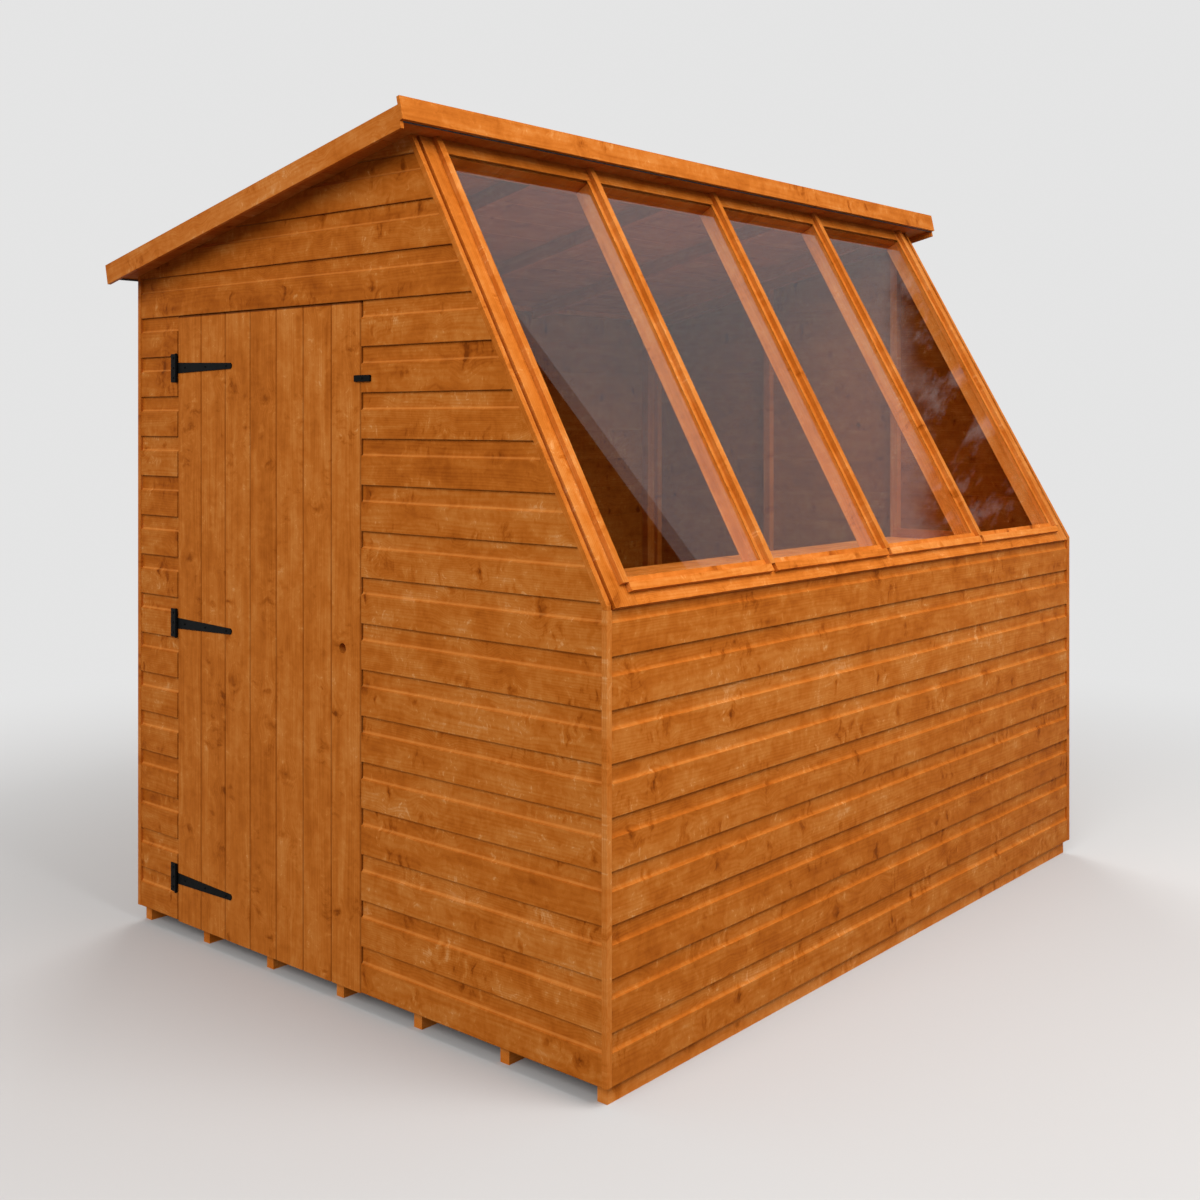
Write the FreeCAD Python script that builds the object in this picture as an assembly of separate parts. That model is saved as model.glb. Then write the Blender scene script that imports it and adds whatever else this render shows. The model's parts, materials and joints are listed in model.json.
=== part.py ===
import FreeCAD, Part
import math
import os

# Potting shed of boarded timber panels with a plank door and a sloping glazed front.
# Millimetres. X runs across the gables towards the glazing, Y from the door gable to the rear gable,
# Z up. The origin is on the ground under the middle bearer.

# Overall form, measured over the corner beads and up from the bottom of the cladding
WIDTH = 1800.0
LENGTH = 2408.0
BACK_HEIGHT = 1832.0
GLAZING_FOOT = 1021.0
ROOF_PITCH = math.radians(12.6)
GLAZING_PITCH = math.radians(60.3)

# Fits
SEAT = 0.3
PIN_CLEARANCE = 0.05
KNUCKLE_GAP = 0.5

# Base
BEARER_COUNT = 7
BEARER_WIDTH = 28.0
BEARER_HEIGHT = 44.0
BEARER_INSET = 5.0
FLOOR_THICKNESS = 12.0
FLOOR_BOARD_WIDTH = 114.0
CLADDING_DROP = 14.0

# Wall panels
FRAME_WIDTH = 44.0
FRAME_DEPTH = 28.0
BOARD_PITCH = 114.0
CLADDING_THICKNESS = 12.0
COVE_DEPTH = 6.5
COVE_RADIUS = 9.0
RECESS_STRIP = 35.0
LAP = 8.0
BEAD_PROUD = 1.5
BEAD_WIDTH = 14.0
BEAD_RETURN = 17.0
REAR_STUD_WIDTH = 28.0
BACK_WALL_BAYS = 2
BACK_PLATE_DROP = 8.0

# Matched boards of door, floor and roof
TONGUE = 4.0
BOARD_GAP = 0.5

# Door
DOOR_SETBACK = 203.0
DOOR_WIDTH = 796.0
DOOR_HEAD_DROP = 122.0
DOOR_THICKNESS = 12.0
DOOR_BOARDS = 7
DOOR_VEE = 3.0
DOOR_DROP = 3.0
DOOR_GAP = 3.0
DOOR_STOP = 12.0
LEDGE_HEIGHT = 90.0
LEDGE_THICKNESS = 20.0
LEDGE_PLAY = 6.0
BRACE_WIDTH = 70.0
FINGER_HOLE_RADIUS = 13.0
FINGER_HOLE_INSET = 69.0
FINGER_HOLE_RISE = 2.6
BOTTOM_HINGE_INSET = 121.0
TOP_HINGE_INSET = 145.0

# Hinges
LEAF_THICKNESS = 2.5
KNUCKLE_RADIUS = 4.5
HINGE_STANDOFF = 5.0
PIN_RADIUS = 2.5
PIN_END = 1.5
PLATE_WIDTH = 29.5
PLATE_HEIGHT = 80.0
STRAP_LENGTH = 261.0
STRAP_ROOT = 30.0
STRAP_TIP = 16.0
TIP_CHAMFER = 5.0
SCREW_RADIUS = 2.0
SCREW_HEAD_RADIUS = 3.6
SCREW_HEAD = 1.6
SCREW_LENGTH = 24.0
SCREW_SIDES = 8
PLATE_SCREW_SPREAD = 28.0
STRAP_SCREW_COUNT = 3
STRAP_SCREW_FIRST = 40.0
STRAP_SCREW_PITCH = 98.0

# Turn button
BUTTON_LENGTH = 60.0
BUTTON_WIDTH = 16.0
BUTTON_THICKNESS = 5.0
BUTTON_GAP = 0.6
BUTTON_CHAMFER = 1.5
BUTTON_DROP = 190.0
BUTTON_INSET = 8.0

# Glazed front, along the slope from its foot and out from the face of the slope beads
APRON_THICKNESS = 14.0
APRON_FOOT = -7.0
APRON_TOP = 58.8
SLOPE_BEAD_THICKNESS = 13.0
BEAD_JOINT_DROP = 10.0
STILE_START = 26.0
LIP_FOOT = 22.5
LIP_HEIGHT = 19.5
LIP_GAP = 16.0
SILL_RISE = 36.0
SILL_DEPTH = 92.0
SILL_NOSE = 28.0
PANE_COUNT = 4
END_BAR_CENTRE = 77.0
BAR_WIDTH = 28.0
BAR_DEPTH = 53.6
HEADER_HEIGHT = 41.0
GLASS_THICKNESS = 3.0
GLASS_REBATE = 14.0
GLASS_LAP = 10.0
GLASS_PLAY = 1.0
STRIP_WIDTH = 20.0
STRIP_PROUD = 12.7
STRIP_TONGUE = 10.0
FLANGE_WIDTH = 48.0
FLANGE_THICKNESS = 2.0
FLANGE_SET_BACK = 1.4

# Bench under the glazing
BENCH_HEIGHT = 975.0
BENCH_DEPTH = 623.0
BENCH_THICKNESS = 18.0
BENCH_BOARDS = 6
BENCH_GAP = 4.0
BENCH_BEARERS = 4
BENCH_STUD = 21.0

# Roof, along its slope from the back wall and up from its underside
GABLE_OVERHANG = 86.0
BACK_OVERHANG = 25.0
FRONT_OVERHANG = 69.0
ROOF_THICKNESS = 12.0
ROOF_VEE = 1.5
FELT_THICKNESS = 3.0
FELT_FOLD = 4.5
FASCIA_THICKNESS = 10.0
FASCIA_FOOT = -2.0
FASCIA_HEIGHT = 58.0
BARGE_THICKNESS = 10.0
BARGE_FOOT = -20.5
BARGE_HEIGHT = 57.0
RAFTER_COUNT = 4
RAFTER_WIDTH = 28.0
RAFTER_DEPTH = 44.0
FIRST_RAFTER = 489.0
RAFTER_SPACING = 578.0

# Planes and lines that the panels share
UP = FreeCAD.Vector(0, 0, 1)
ALONG_X = FreeCAD.Vector(1, 0, 0)
ALONG_Y = FreeCAD.Vector(0, 1, 0)
X_BACK = -WIDTH / 2
X_FRONT = WIDTH / 2
Y_DOOR = -LENGTH / 2
Y_REAR = LENGTH / 2
FACE_BACK = X_BACK + BEAD_PROUD
FACE_FRONT = X_FRONT - BEAD_PROUD
FACE_DOOR = Y_DOOR + BEAD_PROUD
FACE_REAR = Y_REAR - BEAD_PROUD
SKIN = CLADDING_THICKNESS + SEAT
FLOOR_TOP = BEARER_HEIGHT + SEAT + FLOOR_THICKNESS
CLADDING_BOTTOM = FLOOR_TOP - CLADDING_DROP
EAVE_Z = CLADDING_BOTTOM + BACK_HEIGHT
FOOT_Z = CLADDING_BOTTOM + GLAZING_FOOT
FAR = 2 * (WIDTH + LENGTH)

ROOF_RISE = WIDTH * math.tan(ROOF_PITCH)
SLOPE_CLIMB = math.sin(GLAZING_PITCH) + math.cos(GLAZING_PITCH) * math.tan(ROOF_PITCH)
SLOPE_LENGTH = (BACK_HEIGHT - GLAZING_FOOT + ROOF_RISE) / SLOPE_CLIMB
CREST_U = (WIDTH - SLOPE_LENGTH * math.cos(GLAZING_PITCH)) / math.cos(ROOF_PITCH)
HEADER_FOOT = SLOPE_LENGTH - HEADER_HEIGHT

DOOR_X0 = X_BACK + DOOR_SETBACK
DOOR_X1 = DOOR_X0 + DOOR_WIDTH
DOOR_Z0 = CLADDING_BOTTOM - DOOR_DROP
OPENING_X0 = DOOR_X0 - DOOR_GAP
OPENING_X1 = DOOR_X1 + DOOR_GAP
OPENING_Z1 = EAVE_Z - DOOR_HEAD_DROP
DOOR_Z1 = OPENING_Z1 - DOOR_GAP
BOTTOM_HINGE_Z = DOOR_Z0 + BOTTOM_HINGE_INSET
TOP_HINGE_Z = DOOR_Z1 - TOP_HINGE_INSET
MIDDLE_HINGE_Z = (BOTTOM_HINGE_Z + TOP_HINGE_Z) / 2
HINGES = {"bottom": BOTTOM_HINGE_Z, "middle": MIDDLE_HINGE_Z, "top": TOP_HINGE_Z}

GABLE_X0 = X_BACK + BEAD_WIDTH + SEAT
GABLE_X1 = X_FRONT - BEAD_WIDTH - SEAT
LONG_Y0 = Y_DOOR + BEAD_RETURN + SEAT
LONG_Y1 = Y_REAR - BEAD_RETURN - SEAT
DOOR_FRAME_Y0 = FACE_DOOR + SKIN
DOOR_FRAME_Y1 = DOOR_FRAME_Y0 + FRAME_DEPTH
REAR_FRAME_Y1 = FACE_REAR - SKIN
REAR_FRAME_Y0 = REAR_FRAME_Y1 - FRAME_DEPTH
BACK_FRAME_X0 = FACE_BACK + SKIN
BACK_FRAME_X1 = BACK_FRAME_X0 + FRAME_DEPTH
LOW_FRAME_X1 = FACE_FRONT - SKIN
LOW_FRAME_X0 = LOW_FRAME_X1 - FRAME_DEPTH
STILE_WIDTH = END_BAR_CENTRE + FLANGE_WIDTH / 2 - STILE_START
GLAZED_Y0 = Y_DOOR + STILE_START + STILE_WIDTH + SEAT
GLAZED_Y1 = -GLAZED_Y0
BAR_PITCH = (LENGTH - 2 * END_BAR_CENTRE) / PANE_COUNT
BAR_CENTRES = [Y_DOOR + END_BAR_CENTRE + i * BAR_PITCH for i in range(PANE_COUNT + 1)]
BARS_Y0 = BAR_CENTRES[0] - BAR_WIDTH / 2
BARS_Y1 = -BARS_Y0
STRIP_BED = -FLANGE_SET_BACK - FLANGE_THICKNESS
GLASS_BED = STRIP_BED - SEAT - GLASS_THICKNESS
BAR_FACE = GLASS_BED - SEAT
BAR_INNER = BAR_FACE - BAR_DEPTH
BOARD_BACK = -APRON_THICKNESS - SEAT
REBATE_FOOT = APRON_TOP - GLASS_REBATE
REBATE_TOP = HEADER_FOOT + GLASS_LAP + GLASS_PLAY
LIP_TOP = LIP_FOOT + LIP_HEIGHT
BENCH_X1 = LOW_FRAME_X0 - SEAT
BENCH_X0 = BENCH_X1 - BENCH_DEPTH


def slope_at(s, n):
    """Point in XZ, s up the glazing slope from its foot and n out from the slope beads' face."""
    x = X_FRONT - s * math.cos(GLAZING_PITCH) + n * math.sin(GLAZING_PITCH)
    z = FOOT_Z + s * math.sin(GLAZING_PITCH) + n * math.cos(GLAZING_PITCH)
    return (x, z)


def slope_run(n, z):
    """Distance up the slope at which the line n out from its face reaches the height z."""
    return (z - FOOT_Z - n * math.cos(GLAZING_PITCH)) / math.sin(GLAZING_PITCH)


def roof_at(u, w):
    """Point in XZ, u up the roof from the back wall's face and w up from the roof's underside."""
    x = X_BACK + u * math.cos(ROOF_PITCH) - w * math.sin(ROOF_PITCH)
    z = EAVE_Z + u * math.sin(ROOF_PITCH) + w * math.cos(ROOF_PITCH)
    return (x, z)


def keep(points, origin, inward):
    """Part of a convex outline on the inward side of a line."""
    kept = []
    for a, b in zip(points, points[1:] + points[:1]):
        depth_a = (a[0] - origin[0]) * inward[0] + (a[1] - origin[1]) * inward[1]
        depth_b = (b[0] - origin[0]) * inward[0] + (b[1] - origin[1]) * inward[1]
        if depth_a >= 0:
            kept.append(a)
        if depth_a * depth_b < 0:
            share = depth_a / (depth_a - depth_b)
            kept.append((a[0] + (b[0] - a[0]) * share, a[1] + (b[1] - a[1]) * share))
    return kept


def under_roof(points, w):
    return keep(points, roof_at(0, w), (math.sin(ROOF_PITCH), -math.cos(ROOF_PITCH)))


def inside_slope(points, n):
    return keep(points, slope_at(0, n), (-math.sin(GLAZING_PITCH), -math.cos(GLAZING_PITCH)))


def above(points, z):
    return keep(points, (0, z), (0, 1))


def right_of(points, x):
    return keep(points, (x, 0), (1, 0))


def left_of(points, x):
    return keep(points, (x, 0), (-1, 0))


def rectangle(x0, z0, x1, z1):
    return [(x0, z0), (x1, z0), (x1, z1), (x0, z1)]


def slope_strip(s0, s1, n0, n1):
    return [slope_at(s0, n0), slope_at(s0, n1), slope_at(s1, n1), slope_at(s1, n0)]


def roof_strip(u0, u1, w0, w1):
    return [roof_at(u0, w0), roof_at(u1, w0), roof_at(u1, w1), roof_at(u0, w1)]


def prism(points, y0, y1):
    """Solid of an XZ outline between two Y planes."""
    corners = [FreeCAD.Vector(x, y0, z) for x, z in points]
    outline = Part.makePolygon(corners + corners[:1])
    return Part.Face(outline).extrude(ALONG_Y * (y1 - y0))


def block(x0, y0, z0, x1, y1, z1):
    return Part.makeBox(x1 - x0, y1 - y0, z1 - z0, FreeCAD.Vector(x0, y0, z0))


def drill(pieces, holes):
    """The pieces with every hole cut where it passes through one of them."""
    drilled = []
    for piece in pieces:
        for hole in holes:
            if piece.BoundBox.intersect(hole.BoundBox):
                piece = piece.cut(hole)
        drilled.extend(piece.Solids)
    return drilled


def save(name, pieces):
    shape = pieces[0] if len(pieces) == 1 else Part.makeCompound(pieces)
    shape.exportStep("parts/" + name + ".step")


def shiplap_board(start, inward, run):
    """Shiplap board from its lower outer edge: flat face, cove, recessed strip and rear lap."""
    def at(depth, height):
        return start + inward * depth + UP * height
    sweep = math.acos(1 - COVE_DEPTH / COVE_RADIUS)
    cove_top = BOARD_PITCH - RECESS_STRIP
    face_top = cove_top - COVE_RADIUS * math.sin(sweep)
    middle_depth = COVE_DEPTH - COVE_RADIUS * (1 - math.cos(sweep / 2))
    middle_height = cove_top - COVE_RADIUS * math.sin(sweep / 2)
    lip = COVE_DEPTH - SEAT
    shoulder = LAP + SEAT
    back = CLADDING_THICKNESS
    cove = Part.Arc(at(0, face_top), at(middle_depth, middle_height), at(COVE_DEPTH, cove_top))
    rest = Part.makePolygon([
        at(COVE_DEPTH, cove_top),
        at(COVE_DEPTH, BOARD_PITCH + LAP),
        at(back, BOARD_PITCH + LAP),
        at(back, shoulder),
        at(lip, shoulder),
        at(lip, 0),
        at(0, 0),
        at(0, face_top),
    ])
    outline = Part.Wire([cove.toShape()] + rest.Edges)
    return Part.Face(outline).extrude(run)


def shiplap_wall(start, inward, run, limit, top):
    """Boards from the cladding's bottom to a top height, trimmed to the wall's own outline."""
    boards = []
    for k in range(math.ceil((top - CLADDING_BOTTOM) / BOARD_PITCH)):
        board = shiplap_board(start + UP * (k * BOARD_PITCH), inward, run)
        boards.extend(board.common(limit).Solids)
    return boards


def matched_board(start, across, inward, run, pitch, thickness, vee, first, last):
    """Tongued and grooved board with V edges on its face, plain on the outer edge of a set."""
    def at(side, depth):
        return start + across * side + inward * depth
    far_side = pitch if last else pitch - BOARD_GAP
    third = thickness / 3
    corners = [at(vee, 0), at(far_side - vee, 0), at(far_side, vee)]
    if not last:
        corners += [at(far_side, third), at(far_side + TONGUE, third)]
        corners += [at(far_side + TONGUE, 2 * third), at(far_side, 2 * third)]
    corners += [at(far_side, thickness), at(0, thickness)]
    if not first:
        corners += [at(0, 2 * third + SEAT), at(TONGUE, 2 * third + SEAT)]
        corners += [at(TONGUE, third - SEAT), at(0, third - SEAT)]
    corners.append(at(0, vee))
    return Part.Face(Part.makePolygon(corners + corners[:1])).extrude(run)


def matched_boards(start, across, inward, run, width, count, thickness, vee):
    pitch = width / count
    boards = []
    for k in range(count):
        corner = start + across * (k * pitch)
        is_last = k == count - 1
        boards.append(matched_board(corner, across, inward, run, pitch, thickness, vee, k == 0, is_last))
    return boards


def screw_ring(x, y, z, radius):
    """Round of a screw or its hole as an even-sided outline that faces along Y."""
    corners = []
    for i in range(SCREW_SIDES + 1):
        turn = 2 * math.pi * i / SCREW_SIDES
        corners.append(FreeCAD.Vector(x + radius * math.cos(turn), y, z + radius * math.sin(turn)))
    return Part.makePolygon(corners)


def screw(x, y, z):
    """Screw driven along +Y, with its low head on the plane y."""
    shank = Part.Face(screw_ring(x, y, z, SCREW_RADIUS)).extrude(ALONG_Y * SCREW_LENGTH)
    head = Part.Face(screw_ring(x, y, z, SCREW_HEAD_RADIUS)).extrude(ALONG_Y * -SCREW_HEAD)
    return shank.fuse(head).removeSplitter()


def screw_hole(x, y, z):
    start = screw_ring(x, y - SCREW_HEAD, z, SCREW_RADIUS + PIN_CLEARANCE)
    return Part.Face(start).extrude(ALONG_Y * (SCREW_LENGTH + 2 * SCREW_HEAD))


def make_base():
    x0 = GABLE_X0
    x1 = GABLE_X1
    y0 = FACE_DOOR + SKIN
    y1 = FACE_REAR - SKIN
    spacing = (x1 - x0 - BEARER_WIDTH) / (BEARER_COUNT - 1)
    bearers = []
    for i in range(BEARER_COUNT):
        left = x0 + i * spacing
        bearers.append(block(left, y0 + BEARER_INSET, 0, left + BEARER_WIDTH, y1 - BEARER_INSET, BEARER_HEIGHT))
    save("floor_bearers", bearers)
    count = round((y1 - y0) / FLOOR_BOARD_WIDTH)
    corner = FreeCAD.Vector(x0, y0, FLOOR_TOP)
    run = ALONG_X * (x1 - x0)
    save("floor_boards", matched_boards(corner, ALONG_Y, UP * -1, run, y1 - y0, count, FLOOR_THICKNESS, SEAT))


def gable_outline():
    """Gable cladding between its corner beads, under the roof and behind the slope bead."""
    whole = rectangle(GABLE_X0, CLADDING_BOTTOM, GABLE_X1, EAVE_Z + WIDTH)
    return inside_slope(under_roof(whole, -SEAT), -SLOPE_BEAD_THICKNESS - SEAT)


def gable_studs(y0, y1, spans):
    """Upright members between floor and top plate: each span gives left, right and foot."""
    clear = FRAME_WIDTH + SEAT
    studs = []
    for left, right, foot in spans:
        upright = rectangle(left, foot, right, EAVE_Z + WIDTH)
        upright = inside_slope(under_roof(upright, -clear), -APRON_THICKNESS - SEAT - clear)
        studs.append(prism(upright, y0, y1))
    return studs


def gable_edges(y0, y1):
    """Front stud, raking stud along the glazing and top plate under the roof."""
    slant = -APRON_THICKNESS - SEAT
    knee = slope_at(0, slant)
    knee_z = knee[1] + (knee[0] - GABLE_X1) * math.tan(GLAZING_PITCH)
    front = rectangle(GABLE_X1 - FRAME_WIDTH, FLOOR_TOP + FRAME_WIDTH + 2 * SEAT, GABLE_X1, knee_z - SEAT)
    raking = slope_strip(-GLAZING_FOOT, FAR, slant - FRAME_WIDTH, slant)
    raking = under_roof(above(raking, knee_z), -SEAT)
    plate = right_of(roof_strip(-WIDTH, FAR, -FRAME_WIDTH, -SEAT), GABLE_X0)
    plate = inside_slope(plate, slant - FRAME_WIDTH - SEAT)
    return [prism(front, y0, y1), prism(raking, y0, y1), prism(plate, y0, y1)]


def centred(x, foot):
    return (x - FRAME_WIDTH / 2, x + FRAME_WIDTH / 2, foot)


def rail(x0, x1, z, y0, y1):
    return block(x0 + SEAT, y0, z, x1 - SEAT, y1, z + FRAME_WIDTH)


def make_door_gable(holes):
    y0 = DOOR_FRAME_Y0
    y1 = DOOR_FRAME_Y1
    sole = FLOOR_TOP + SEAT
    foot = sole + FRAME_WIDTH + SEAT
    left_post = (OPENING_X0 + DOOR_STOP - FRAME_WIDTH, OPENING_X0 + DOOR_STOP, sole)
    right_post = (OPENING_X1 - DOOR_STOP, OPENING_X1 - DOOR_STOP + FRAME_WIDTH, sole)
    back_stud = (GABLE_X0, GABLE_X0 + FRAME_WIDTH, foot)
    middle_stud = centred((right_post[1] + GABLE_X1 - FRAME_WIDTH) / 2, foot)
    head_z = OPENING_Z1 - DOOR_STOP
    cripple = centred((left_post[1] + right_post[0]) / 2, head_z + FRAME_WIDTH + SEAT)
    mid_z = FOOT_Z - FRAME_WIDTH / 2
    frame = gable_studs(y0, y1, [back_stud, left_post, right_post, middle_stud, cripple])
    frame += gable_edges(y0, y1)
    frame.append(rail(GABLE_X0 - SEAT, left_post[0], sole, y0, y1))
    frame.append(rail(right_post[1], GABLE_X1 + SEAT, sole, y0, y1))
    frame.append(rail(left_post[1], right_post[0], head_z, y0, y1))
    frame.append(rail(right_post[1], middle_stud[0], mid_z, y0, y1))
    save("door_gable_frame", drill(frame, holes))

    start = FreeCAD.Vector(GABLE_X0, FACE_DOOR, CLADDING_BOTTOM)
    limit = prism(gable_outline(), FACE_DOOR - SEAT, FACE_DOOR + SKIN)
    peak = max(z for x, z in gable_outline())
    boards = []
    for board in shiplap_wall(start, ALONG_Y, ALONG_X * (GABLE_X1 - GABLE_X0), limit, peak):
        box = board.BoundBox
        is_beside = box.ZMin + BOARD_PITCH <= OPENING_Z1 + SEAT
        opening_top = box.ZMax + LAP if is_beside else max(OPENING_Z1, box.ZMin)
        doorway = block(OPENING_X0, box.YMin - LAP, DOOR_Z0 - LAP, OPENING_X1, box.YMax + LAP, opening_top)
        boards.extend(board.cut(doorway).Solids)
    save("door_gable_cladding", drill(boards, holes))


def make_rear_gable():
    y0 = REAR_FRAME_Y0
    y1 = REAR_FRAME_Y1
    sole = FLOOR_TOP + SEAT
    foot = sole + FRAME_WIDTH + SEAT
    half = REAR_STUD_WIDTH / 2
    back_stud = (GABLE_X0, GABLE_X0 + FRAME_WIDTH, foot)
    bench_x = BENCH_X0 + BENCH_STUD
    bench_stud = (bench_x - half, bench_x + half, foot)
    middle_x = (back_stud[1] + bench_stud[0]) / 2
    middle_stud = (middle_x - half, middle_x + half, foot)
    frame = gable_studs(y0, y1, [back_stud, middle_stud, bench_stud]) + gable_edges(y0, y1)
    frame.append(rail(GABLE_X0 - SEAT, GABLE_X1 + SEAT, sole, y0, y1))
    frame.append(rail(bench_stud[1], GABLE_X1 - FRAME_WIDTH, FOOT_Z - FRAME_WIDTH, y0, y1))
    save("rear_gable_frame", frame)

    start = FreeCAD.Vector(GABLE_X0, FACE_REAR, CLADDING_BOTTOM)
    limit = prism(gable_outline(), FACE_REAR - SKIN, FACE_REAR + SEAT)
    peak = max(z for x, z in gable_outline())
    boards = shiplap_wall(start, ALONG_Y * -1, ALONG_X * (GABLE_X1 - GABLE_X0), limit, peak)
    save("rear_gable_cladding", boards)


def long_wall_frame(x0, x1, top, bays):
    """Sole plate, top plate of a given XZ outline and evenly spaced studs of a long wall."""
    y0 = DOOR_FRAME_Y1 + SEAT
    y1 = REAR_FRAME_Y0 - SEAT
    sole = FLOOR_TOP + SEAT
    foot = sole + FRAME_WIDTH + SEAT
    head = min(z for x, z in top) - SEAT
    frame = [block(x0, y0, sole, x1, y1, sole + FRAME_WIDTH), prism(top, y0, y1)]
    pitch = (y1 - y0 - FRAME_WIDTH) / bays
    for i in range(bays + 1):
        y = y0 + i * pitch
        frame.append(block(x0, y, foot, x1, y + FRAME_WIDTH, head))
    return frame


def make_back_wall():
    eave = roof_at(0, 0)[1]
    plate = rectangle(BACK_FRAME_X0, eave - BACK_PLATE_DROP, BACK_FRAME_X1, eave + FRAME_WIDTH)
    plate = under_roof(plate, -SEAT)
    save("back_wall_frame", long_wall_frame(BACK_FRAME_X0, BACK_FRAME_X1, plate, BACK_WALL_BAYS))
    start = FreeCAD.Vector(FACE_BACK, LONG_Y0, CLADDING_BOTTOM)
    whole = rectangle(FACE_BACK - SEAT, CLADDING_BOTTOM, FACE_BACK + SKIN, eave + BOARD_PITCH)
    limit = prism(under_roof(whole, -SEAT), LONG_Y0, LONG_Y1)
    boards = shiplap_wall(start, ALONG_X, ALONG_Y * (LONG_Y1 - LONG_Y0), limit, eave)
    save("back_wall_cladding", boards)


def make_low_wall():
    top = slope_at(APRON_FOOT, -APRON_THICKNESS)[1] - SEAT
    plate = rectangle(LOW_FRAME_X0, top - FRAME_WIDTH, LOW_FRAME_X1, top)
    save("low_wall_frame", long_wall_frame(LOW_FRAME_X0, LOW_FRAME_X1, plate, PANE_COUNT))
    start = FreeCAD.Vector(FACE_FRONT, LONG_Y0, CLADDING_BOTTOM)
    limit = block(FACE_FRONT - SKIN, LONG_Y0, CLADDING_BOTTOM, FACE_FRONT + SEAT, LONG_Y1, top)
    boards = shiplap_wall(start, ALONG_X * -1, ALONG_Y * (LONG_Y1 - LONG_Y0), limit, top)
    save("low_wall_cladding", boards)


def make_beads():
    joint = FOOT_Z - BEAD_JOINT_DROP
    ends = {"door": (Y_DOOR, 1), "rear": (Y_REAR, -1)}
    back = rectangle(X_BACK, CLADDING_BOTTOM, X_BACK + BEAD_WIDTH, EAVE_Z + WIDTH)
    front = rectangle(X_FRONT - BEAD_WIDTH, CLADDING_BOTTOM, X_FRONT, joint - SEAT)
    slope = slope_strip(-GLAZING_FOOT, FAR, -SLOPE_BEAD_THICKNESS, 0)
    slope = under_roof(left_of(above(slope, joint), X_FRONT), -SEAT)
    for end, (y, inward) in ends.items():
        y_return = y + inward * BEAD_RETURN
        save("back_corner_bead_" + end, [prism(under_roof(back, -SEAT), y, y_return)])
        save("front_corner_bead_" + end, [prism(front, y, y_return)])
        save("slope_bead_" + end, [prism(slope, y, y + inward * BEAD_WIDTH)])


def make_glazing_frame():
    """Face boards of the slope and the deep members behind them, with a rebate for the glass."""
    stile_y = Y_DOOR + STILE_START
    stile = under_roof(slope_strip(APRON_FOOT, FAR, -APRON_THICKNESS, 0), -SEAT)
    channel = slope_strip(REBATE_FOOT, REBATE_TOP, BOARD_BACK, STRIP_BED)
    stile = prism(stile, stile_y, stile_y + STILE_WIDTH).cut(prism(channel, BARS_Y0 - SEAT, GLAZED_Y0))
    save("glazing_stile_door", stile.Solids)
    save("glazing_stile_rear", stile.mirror(FreeCAD.Vector(), ALONG_Y).Solids)
    apron = [
        slope_at(APRON_FOOT, -APRON_THICKNESS),
        slope_at(APRON_FOOT, 0),
        slope_at(APRON_TOP, 0),
        slope_at(APRON_TOP, STRIP_BED),
        slope_at(REBATE_FOOT, STRIP_BED),
        slope_at(REBATE_FOOT, -APRON_THICKNESS),
    ]
    save("sill_apron", [prism(apron, GLAZED_Y0, GLAZED_Y1)])
    lip = slope_strip(LIP_FOOT, LIP_TOP, SEAT, STRIP_PROUD)
    half_gap = LIP_GAP / 2
    lips = [prism(lip, a + half_gap, b - half_gap) for a, b in zip(BAR_CENTRES, BAR_CENTRES[1:])]
    save("sill_lips", lips)

    top = FOOT_Z + SILL_RISE
    bottom = slope_at(APRON_FOOT, -APRON_THICKNESS)[1]
    inner = X_FRONT - SILL_DEPTH
    sill = [
        slope_at(slope_run(BOARD_BACK, top), BOARD_BACK),
        (inner, top),
        (inner, top - SILL_NOSE),
        (LOW_FRAME_X0, bottom),
        slope_at(slope_run(BOARD_BACK, bottom), BOARD_BACK),
    ]
    save("glazing_sill", [prism(sill, BARS_Y0, BARS_Y1)])
    bar = above(slope_strip(0, HEADER_FOOT - SEAT, BAR_INNER, BAR_FACE), top + SEAT)
    for i, y in enumerate(BAR_CENTRES):
        save("glazing_bar_%d" % (i + 1), [prism(bar, y - BAR_WIDTH / 2, y + BAR_WIDTH / 2)])
    header = under_roof(slope_strip(HEADER_FOOT, FAR, BAR_INNER, BOARD_BACK), -SEAT)
    save("glazing_header", [prism(header, BARS_Y0, BARS_Y1)])
    board = prism(under_roof(slope_strip(HEADER_FOOT, FAR, -APRON_THICKNESS, 0), -SEAT), GLAZED_Y0, GLAZED_Y1)
    rebate = slope_strip(HEADER_FOOT - SEAT, REBATE_TOP, BOARD_BACK, STRIP_BED)
    save("glazing_header_board", board.cut(prism(rebate, GLAZED_Y0 - SEAT, GLAZED_Y1 + SEAT)).Solids)


def make_panes():
    top = HEADER_FOOT + GLASS_LAP
    pane = slope_strip(REBATE_FOOT + GLASS_PLAY, top, GLASS_BED, GLASS_BED + GLASS_THICKNESS)
    margin = STRIP_TONGUE / 2 + GLASS_PLAY
    for i in range(PANE_COUNT):
        near = BARS_Y0 + GLASS_PLAY if i == 0 else BAR_CENTRES[i] + margin
        far_edge = BARS_Y1 - GLASS_PLAY if i == PANE_COUNT - 1 else BAR_CENTRES[i + 1] - margin
        save("glass_pane_%d" % (i + 1), [prism(pane, near, far_edge)])


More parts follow.
